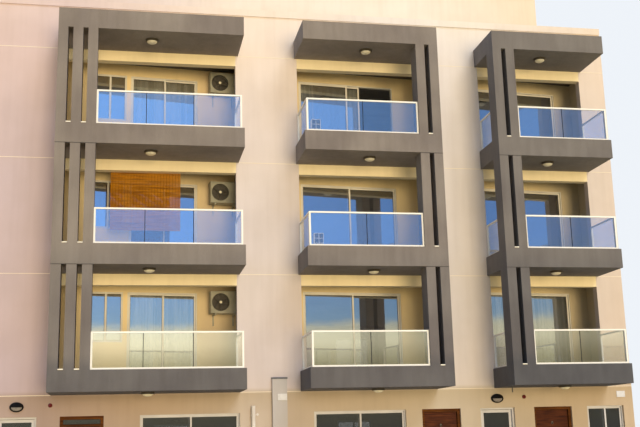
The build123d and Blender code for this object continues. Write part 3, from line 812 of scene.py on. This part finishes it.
# Painted shade: the upright stripes stand for light and shade in the folds.
fold_shade_stripes = patchy(tree, 3.0, ((0.32, 0.40, 0.38), (0.94, 1.0, 0.97)), detail=1.0,
                    stretch=(2.9, 2.9, 0.06), low=0.42, high=0.58)
threads = patchy(tree, 900, ((0.90, 0.90, 0.90), (1.05, 1.05, 1.05)))
dress(tree, shader, multiplied(tree, fold_shade_stripes, threads), ((700, 0.0004, 0.4),))


def pleated_curtain(low, high, phase):
    """A hanging sheet whose pleats are even at the track and loosen towards the hem."""
    width, drop = high.x - low.x, high.z - low.z
    middle = (low + high) / 2
    bpy.ops.object.select_all(action="DESELECT")
    bpy.ops.mesh.primitive_grid_add(x_subdivisions=round(width / pleat_pitch * 16),
                                    y_subdivisions=24, size=1, location=middle,
                                    rotation=(math.pi / 2, 0, 0))
    sheet = settled((width, drop, 1))
    for vertex in sheet.data.vertices:
        hang = (high.z - vertex.co.z) / drop
        turn = (vertex.co.x - low.x) / pleat_pitch * 2 * math.pi
        sway = 0.7 * hang * math.sin(0.31 * turn + phase)
        depth = pleat_depth * (0.75 + 0.25 * math.sin(0.17 * turn + phase))
        vertex.co.y = middle.y + depth * math.sin(turn + sway)
    bpy.ops.object.shade_smooth()
    return sheet


for number, (low, high) in enumerate(pane_boxes("curtains", loggia_turn)):
    sheet = pleated_curtain(low, high, 0.9 * number)
    sheet.data.transform(Matrix.Rotation(loggia_turn, 4, "Z"))
    curtain = finished("curtain_%d" % (number + 1), [sheet], curtain_cloth)
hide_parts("curtains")

# Bamboo blind
# Split canes woven into a blind with dark cords, hung from a batten inside the lintel
# of the left column's second loggia. The canes vary in colour and are oiled.
blind_low, blind_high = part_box("bamboo_blind")
cane_pitch = 0.016
cane_radius = 0.0068
cord_radius = 0.0025
cord_columns = 23
bamboo_cane, tree, shader = new_finish("bamboo_cane", 0.5)
per_cane = patchy(tree, 26, ((0.33, 0.125, 0.001), (0.62, 0.265, 0.003)), detail=2.0,
                  stretch=(0.05, 0.1, 1.6), low=0.40, high=0.60)
knots = patchy(tree, 7, ((0.82, 0.78, 0.70), (1, 1, 1)), stretch=(1.2, 1, 9))
dress(tree, shader, multiplied(tree, per_cane, knots), ((260, 0.0006, 0.4),))
blind_cord = mottled("blind_cord", ((0.085, 0.030, 0.008), (0.14, 0.055, 0.014)), 0.85, 90,
                     ((500, 0.0006, 0.4),))
batten_height = 0.045
blind_middle = (blind_low + blind_high) / 2
cane_length = blind_high.x - blind_low.x
first_cane = blind_high.z - batten_height - cane_pitch / 2
bpy.ops.object.select_all(action="DESELECT")
bpy.ops.mesh.primitive_cylinder_add(vertices=8, radius=cane_radius, depth=cane_length,
                                    location=(blind_middle.x, blind_middle.y, first_cane),
                                    rotation=(0, math.pi / 2, 0))
cane = settled()
open_whole()
bpy.ops.transform.resize(value=(1, 0.6, 1), center_override=(0, blind_middle.y, 0))
bpy.ops.object.mode_set(mode="OBJECT")
canes = cane.modifiers.new("canes", "ARRAY")
canes.use_relative_offset = False
canes.use_constant_offset = True
canes.constant_offset_displace = (0, 0, -cane_pitch)
canes.count = int((blind_high.z - blind_low.z - batten_height) / cane_pitch) - 1
bpy.ops.object.modifier_apply(modifier="canes")
bpy.ops.object.shade_smooth_by_angle(angle=math.radians(50))
batten = bar((blind_low.x, blind_low.y + 0.001, blind_high.z - batten_height),
             (blind_high.x, blind_high.y - 0.001, blind_high.z), 0.003)
hem_lath = bar((blind_low.x, blind_low.y + 0.004, blind_low.z),
               (blind_high.x, blind_high.y - 0.004, blind_low.z + 0.028), 0.003)
blind = finished("bamboo_canes", [cane, batten, hem_lath], bamboo_cane)
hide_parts("bamboo_blind")
cord_places = [blind_low.x + cane_length * (0.03 + 0.94 * column / (cord_columns - 1))
               for column in range(cord_columns)]
cords = [bar((x - cord_radius, blind_low.y + 0.002, blind_low.z + 0.01),
             (x + cord_radius, blind_high.y - 0.002, blind_high.z - 0.01), 0.001)
         for x in cord_places]
finished("bamboo_blind_cords", cords, blind_cord)

# Balustrades
# White coated rails and posts hold sheets of bluish laminated glass. Dark rubber fills
# the upright joints between the sheets.
rail_coat = mottled("rail_coat", ((0.90, 0.89, 0.87), (0.96, 0.95, 0.93)), 0.30, 1.0,
                    ((400, 0.0004, 0.2),))
paint(["balustrade_fronts", "balustrade_sides"], rail_coat)
guard_tint = glazing("guard_tint", (0.95, 0.98, 1.0), (0.95, 0.98, 1.0), 0.23, 0.97, 0.02)
paint(["balustrade_glass"], guard_tint)
front_panes = [box for box in pane_boxes("balustrade_glass") if box[1].x - box[0].x > 0.5]
seals = []
for low, high in front_panes:
    for next_pane, _ in front_panes:
        if 0 < next_pane.x - high.x < 0.03 and abs(next_pane.z - low.z) < 0.01:
            seals.append(bar((high.x - 0.001, low.y - 0.001, low.z),
                             (next_pane.x + 0.001, high.y + 0.001, high.z), 0.002))
finished("pane_seals", seals, black_rubber)

# Cooling units
# Off-white steel cabinets on two arms from the loggia's back wall, their paint darkened by painted
# shade. The fan turns behind a round wire guard in the street side, and slots in the cabinet's
# right end let air in.
cooler_start = 3.945
cooler_end = cooler_start + 0.800
cooler_back = -0.080
cooler_front = cooler_back - 0.300
cooler_height = 0.590
cooler_drops = (0.300, 0.300, 0.165)
lid_proud = 0.004
arm_width = 0.040
slat_pitch = 0.030
fan_radius = 0.238
fan_from_side = 0.268
fan_setback = 0.075
hole_depth = 0.150
seam_x = cooler_start + 2 * fan_from_side
# Painted shade: the off-white casing is darkened for the loggia's shade.
shaded_casing_paint = mottled("cabinet_paint_painted_shade", ((0.34, 0.33, 0.26), (0.45, 0.44, 0.36)), 0.5, 3.0,
                       ((350, 0.0004, 0.2),))
guard_wire = mottled("guard_wire", ((0.060, 0.055, 0.046), (0.10, 0.090, 0.076)), 0.5, 40,
                     ((400, 0.0003, 0.2),))
fan_plastic = mottled("fan_plastic", ((0.11, 0.10, 0.085), (0.16, 0.145, 0.125)), 0.55, 15,
                      ((300, 0.0003, 0.2),))
hub_paint = mottled("hub_paint", ((0.80, 0.76, 0.62), (0.90, 0.86, 0.72)), 0.45, 20,
                    ((300, 0.0003, 0.2),))


def cut_away(piece, tool):
    """Take the tool's shape out of a piece and remove the tool."""
    cut = piece.modifiers.new("cut", "BOOLEAN")
    cut.operation = "DIFFERENCE"
    cut.solver = "EXACT"
    cut.object = tool
    take(piece)
    bpy.ops.object.modifier_apply(modifier="cut")
    bpy.data.objects.remove(tool)


def disc(radius, depth, centre, vertices=64):
    """A round plug that points at the street."""
    bpy.ops.object.select_all(action="DESELECT")
    bpy.ops.mesh.primitive_cylinder_add(vertices=vertices, radius=radius, depth=depth,
                                        location=centre, rotation=(math.pi / 2, 0, 0))
    return settled()


def hoop(radius, thickness, centre, segments=48):
    """A ring of wire that faces the street."""
    bpy.ops.object.select_all(action="DESELECT")
    bpy.ops.mesh.primitive_torus_add(major_radius=radius, minor_radius=thickness,
                                     major_segments=segments, minor_segments=6,
                                     location=centre, rotation=(math.pi / 2, 0, 0))
    return settled()


def fan_blade(centre, radius, turn):
    """One broad blade, pitched and swept about the fan's hub."""
    bpy.ops.object.select_all(action="DESELECT")
    bpy.ops.mesh.primitive_grid_add(x_subdivisions=6, y_subdivisions=4, size=1,
                                    rotation=(math.pi / 2, 0, 0),
                                    location=(radius * 0.55, 0, 0))
    blade = settled((radius * 0.75, radius * 0.62, 1))
    for vertex in blade.data.vertices:
        reach = vertex.co.x / radius
        vertex.co.y += vertex.co.z * (0.75 - 0.45 * reach)
        vertex.co.z *= 0.55 + 0.55 * reach
        vertex.co.z += 0.10 * radius * reach * reach
    thick = blade.modifiers.new("thick", "SOLIDIFY")
    thick.thickness = 0.003
    bpy.ops.object.modifier_apply(modifier="thick")
    bpy.ops.object.shade_smooth()
    blade.data.transform(Matrix.Translation(centre) @ Matrix.Rotation(turn, 4, "Y"))
    return blade


cabinets, wires, fans, hubs = [], [], [], []
left_loggia = loggia_frames["left"]
for soffit, drop in zip(soffits[1:], cooler_drops):
    top = soffit - drop
    foot = top - cooler_height
    centre = Vector((cooler_start + fan_from_side, cooler_front, (foot + top) / 2))
    cabinet = bar((cooler_start, cooler_front, foot), (cooler_end, cooler_back, top), 0.012, 3)
    cut_away(cabinet, disc(fan_radius, 2 * hole_depth, centre))
    lip = hoop(fan_radius + 0.004, 0.008, centre + Vector((0, 0.001, 0)), 64)
    lid = bar((cooler_start - lid_proud, cooler_front - lid_proud, top - 0.030),
              (cooler_end + lid_proud, cooler_back + lid_proud, top), 0.006)
    panel = bar((seam_x + 0.012, cooler_front - 0.003, foot + 0.030),
                (cooler_end - 0.012, cooler_front + 0.004, top - 0.045), 0.002)
    handle_cup = bar((cooler_end - 0.080, cooler_front - 0.007, foot + 0.30),
                     (cooler_end - 0.035, cooler_front + 0.002, foot + 0.38), 0.003)
    slats = [bar((cooler_end - 0.002, cooler_front + 0.05, z),
                 (cooler_end + 0.005, cooler_back - 0.04, z + 0.014), 0.002)
             for z in [foot + 0.09 + slat_pitch * i for i in range(14)]]
    arms = []
    for x in (cooler_start + 0.110, cooler_end - 0.150):
        arms += [bar((x, cooler_front, foot - 0.045), (x + arm_width, 0, foot - 0.004), 0.004),
                 bar((x, -0.012, foot - 0.30), (x + arm_width, 0, foot - 0.03), 0.003),
                 bar((x + 0.008, cooler_front + 0.04, foot - 0.008),
                     (x + arm_width - 0.008, cooler_front + 0.07, foot + 0.004), 0.003)]
    cabinets += moved([cabinet, lip, lid, panel, handle_cup] + slats + arms, left_loggia)
    guard = [hoop(fan_radius * share, 0.0026, centre + Vector((0, 0.004 - 0.016 * (1 - share), 0)))
             for share in (0.26, 0.38, 0.50, 0.62, 0.74, 0.86, 0.97)]
    spoke = bar((0.045, -0.0025, -0.0025), (fan_radius, 0.0025, 0.0025), 0.001)
    guard += copies(spoke, [Matrix.Translation(centre)
                            @ Matrix.Rotation(math.radians(30 * turn), 4, "Y")
                            for turn in range(12)])
    wires += moved(guard, left_loggia)
    deep = centre + Vector((0, fan_setback, 0))
    hole_end = centre + Vector((0, hole_depth - 0.006, 0))
    fan = [fan_blade(deep, fan_radius, math.radians(120 * blade)) for blade in range(3)]
    fan += [disc(0.055, 0.06, deep), disc(fan_radius + 0.002, 0.006, hole_end)]
    fans += moved(fan, left_loggia)
    hub_place = Matrix.Translation(centre + Vector((0, -0.010, 0)))
    hubs += moved([lens_dome(0.038, 0.014, 32)], left_loggia @ hub_place @ facing_street)
cooler_cabinets = finished("cooler_cabinets", cabinets, shaded_casing_paint)
finished("cooler_fan_guards", wires, guard_wire)
finished("cooler_fans", fans, fan_plastic)
finished("cooler_hubs", hubs, hub_paint)

# Louvred boxes
# Two small white metal boxes stand on the middle column's upper balconies, against the
# upstand. Each has two columns of dark louvred openings in its street side.
box_start = bays["middle"][0].x + 0.200
box_end = box_start + 0.240
box_height = 0.520
box_front = front_face + upstand_width
box_back = box_front + 0.200
box_rib = 0.012
rib_back = box_front + 0.014
louvre_rows = 4
cell_width = (box_end - box_start - 3 * box_rib) / 2
cell_height = (box_height - (louvre_rows + 1) * box_rib) / louvre_rows
white_steel = mottled("white_steel", ((0.78, 0.77, 0.74), (0.86, 0.85, 0.82)), 0.4, 4.0,
                      ((350, 0.0004, 0.2),))
boxes, louvres = [], []
for foot in floors[1:3]:
    top = foot + box_height
    boxes.append(bar((box_start, box_front + 0.012, foot), (box_end, box_back, top), 0.006))
    for column in range(2):
        x0 = box_start + box_rib + column * (cell_width + box_rib)
        x1 = x0 + cell_width
        for row in range(louvre_rows):
            z = foot + box_rib + row * (cell_height + box_rib)
            louvres.append(bar((x0, box_front + 0.008, z),
                               (x1, rib_back, z + cell_height), 0.001))
            for slat in range(4):
                edge = z + cell_height * (0.14 + 0.24 * slat)
                louvres.append(bar((x0 + 0.002, box_front + 0.002, edge),
                                   (x1 - 0.002, box_front + 0.010, edge + 0.006), 0.001))
    for column in range(3):
        x = box_start + column * (cell_width + box_rib)
        boxes.append(bar((x, box_front + 0.001, foot), (x + box_rib, rib_back, top), 0.002))
    for row in range(louvre_rows + 1):
        z = foot + row * (cell_height + box_rib)
        boxes.append(bar((box_start, box_front + 0.0005, z),
                         (box_end, rib_back, z + box_rib), 0.002))
louvred_boxes = finished("louvred_boxes", boxes, white_steel)
finished("box_louvres", louvres, guard_wire)
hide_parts("air_units")
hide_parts("air_units")

# Street doors
# Timber leaves with level grooves in timber frames, stained red-brown and varnished, on
# steel hinges. Stone thresholds lie under them.


def stained_wood(name, tones):
    """Stained and varnished timber with level grain and worn patches."""
    material, tree, shader = new_finish(name, 0.5)
    shader.inputs["Specular IOR Level"].default_value = 0.25
    grain = patchy(tree, 14.0, tones, detail=6.0, stretch=(0.16, 1, 2.2))
    worn = patchy(tree, 1.3, ((0.80, 0.78, 0.76), (1.1, 1.08, 1.05)))
    dress(tree, shader, multiplied(tree, grain, worn), ((60, 0.0015, 0.3),))
    return material


leaf_wood = stained_wood("leaf_wood", ((0.050, 0.015, 0.006), (0.125, 0.038, 0.013)))
paint(["wood_door_left", "wood_door_middle", "wood_door_right"], leaf_wood)
frame_wood = stained_wood("frame_wood", ((0.070, 0.022, 0.003), (0.150, 0.052, 0.006)))
paint(["wood_door_jambs", "wood_door_heads"], frame_wood)
hinge_steel = mottled("hinge_steel", ((0.45, 0.45, 0.45), (0.62, 0.61, 0.60)), 0.34, 30,
                      ((300, 0.0004, 0.2),), metallic=1.0)
paint(["door_hinges"], hinge_steel)
threshold_stone = mottled("threshold_stone", ((0.50, 0.44, 0.36), (0.66, 0.60, 0.51)), 0.5, 5.0,
                          ((80, 0.001, 0.3),))
paint(["door_thresholds"], threshold_stone)

# Door furniture
# Each leaf has a satin steel lever on a long plate, on both sides. The wooden leaves
# have a small brass knocker at head height besides.
lever_from_edge = {"wood_door": 0.060, "glazed_door": 0.035}
leaf_back = {"wood_door": 0.170, "glazed_door": 0.180}
leaf_thickness = {"wood_door": 0.050, "glazed_door": 0.045}
lever_level = 1.100
lever_half = 0.013
lever_drop = 0.132
lever_reach = 0.052
lever_stand_off = 0.026
knocker_level = 1.930
brass = mottled("worn_brass", ((0.62, 0.44, 0.20), (0.80, 0.62, 0.34)), 0.3, 60,
                ((300, 0.0005, 0.3),), metallic=1.0)


def lever(x, face, out):
    """A lever on one face of a leaf: its long plate, its neck and its upright grip."""
    plate = sorted((face, face + 0.004 * out))
    neck = sorted((face, face + lever_reach * out))
    grip = sorted((face + lever_stand_off * out, face + lever_reach * out))
    return [bar((x - 0.020, plate[0], lever_level - 0.15),
                (x + 0.020, plate[1], lever_level + 0.07), 0.0015),
            bar((x - lever_half, neck[0], lever_level - lever_half),
                (x + lever_half, neck[1], lever_level + lever_half), 0.004, 3),
            bar((x - lever_half, grip[0], lever_level - lever_drop),
                (x + lever_half, grip[1], lever_level + lever_half), 0.005, 3)]


leaves = [("wood_door", place) for place in ("left", "middle", "right")]
leaves += [("glazed_door", place) for place in ("left", "middle")]
for kind, place in leaves:
    low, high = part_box(kind + "_" + place)
    back = street_face + leaf_back[kind]
    front = back - leaf_thickness[kind]
    x = high.x - lever_from_edge[kind]
    body = kind.replace("door", "leaf") + "_" + place
    finished("lever_" + kind + "_" + place, lever(x, front, -1) + lever(x, back, 1),
             hinge_steel, body)
    if kind == "wood_door":
        centre = Vector(((low.x + high.x) / 2, front, knocker_level))
        knocker = [disc(0.020, 0.012, centre, 32),
                   hoop(0.026, 0.005, centre + Vector((0, -0.010, -0.030)), 32)]
        finished("knocker_" + place, knocker, brass, body)

# Wall fittings
# Bare white plaques with rounded corners hang beside two entrances. Small dark red
# sounders sit near two lamps, and a white pipe and a small vent stand beside the duct.
plaque_paint = mottled("plaque_enamel", ((0.66, 0.66, 0.72), (0.76, 0.76, 0.82)), 0.3, 8.0,
                       ((120, 0.0005, 0.2),))
duct_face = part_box("street_duct")[0].y
plaques = []
for low_x, high_x, low_z, high_z, face in ((-1.269, -1.029, 2.616, 2.780, duct_face),
                                           (8.001, 8.248, 2.544, 2.708, street_face)):
    plaques.append(bar((low_x, face - 0.012, low_z), (high_x, face + 0.001, high_z),
                       0.004, 3))
    plaques.append(square_ring((low_x + 0.008, face - 0.015, low_z + 0.008),
                               (high_x - 0.008, face - 0.010, high_z - 0.008), 0.006))
finished("bare_plaques", plaques, plaque_paint)
sounder_red = mottled("sounder_red", ((0.10, 0.008, 0.006), (0.16, 0.014, 0.010)), 0.4, 30,
                      ((200, 0.0005, 0.2),))
sounder_radius = 0.052
sounder_level = 2.600
sounders = []
for x in (-6.832, 5.352):
    dome_place = Matrix.Translation((x, street_face - 0.008, sounder_level)) @ facing_street
    sounders += moved([lens_dome(sounder_radius, 0.040, 40)], dome_place)
    sounders.append(disc(sounder_radius, 0.018, (x, street_face - 0.004, sounder_level), 40))
finished("red_sounders", sounders, sounder_red)
pipe_radius = 0.050
pipe_gap = 0.012
pipe_x = -1.885
pipe_y = street_face - pipe_radius - pipe_gap
pipe_top = 2.495
clip_half = pipe_radius + pipe_gap
pipe_white = mottled("pipe_white", ((0.66, 0.62, 0.62), (0.76, 0.73, 0.72)), 0.45, 3.0,
                     ((150, 0.0005, 0.2),))
pipe_run = [tube((pipe_x, pipe_y, 0.0), pipe_top, pipe_radius, (0, 0, 1), 0.006)]
pipe_run += [bar((pipe_x - clip_half, pipe_y - 0.008, z),
                 (pipe_x + clip_half, street_face + 0.001, z + 0.030), 0.004)
             for z in (0.45, 1.35, 2.25)]
pipe_run.append(disc(0.032, 0.020, (-1.773, street_face - 0.008, 2.282), 32))
finished("white_wall_pipe", pipe_run, pipe_white)

# Duct cap
# A folded sheet of grey zinc closes the top of the street duct. It is bedded on the
# render, and its front and ends turn down as a drip.
cap_thickness = 0.004
cap_overhang = 0.012
cap_drip = 0.035
duct_low, duct_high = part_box("street_duct")
zinc_sheet = mottled("zinc_sheet", ((0.20, 0.19, 0.18), (0.30, 0.29, 0.28)), 0.5, 5.0,
                     ((200, 0.0005, 0.2),), metallic=0.6)
cap_low = Vector((duct_low.x - cap_overhang, duct_low.y - cap_overhang, duct_high.z))
cap_high = Vector((duct_high.x + cap_overhang, duct_high.y, duct_high.z + cap_thickness))
drip_end = cap_low.z - cap_drip
cap = [bar(cap_low, cap_high, 0.001),
       bar((cap_low.x, cap_low.y, drip_end),
           (cap_high.x, cap_low.y + cap_thickness, cap_high.z), 0.001)]
cap += [bar((x, cap_low.y, drip_end), (x + cap_thickness, cap_high.y, cap_high.z), 0.001)
        for x in (cap_low.x, cap_high.x - cap_thickness)]
finished("duct_cap", cap, zinc_sheet)

# Rear window sills
# A slip of white marble lies in the foot of every rear window, against its frame. Its
# rounded nose stands proud of the wall and throws the rain clear of it.
rear_columns = 5
rear_width = 1.300
rear_foot = 1.000
rear_sill_height = 0.030
rear_sill_nose = 0.035
ground_floor = 0.100
rear_pitch = (cad_high.x - cad_low.x) / rear_columns
rear_frame_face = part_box("window_frames")[1].y
rear_starts = [cad_low.x + rear_pitch * (column + 0.5) - rear_width / 2
               for column in range(rear_columns)]
rear_feet = [floor + rear_foot for floor in [ground_floor] + floors]
rear_sills = [bar((x + 0.002, rear_frame_face, z),
                  (x + rear_width - 0.002, cad_high.y + rear_sill_nose,
                   z + rear_sill_height), 0.004)
              for z in rear_feet for x in rear_starts]
finished("rear_sills", rear_sills, white_marble)

low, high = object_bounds()
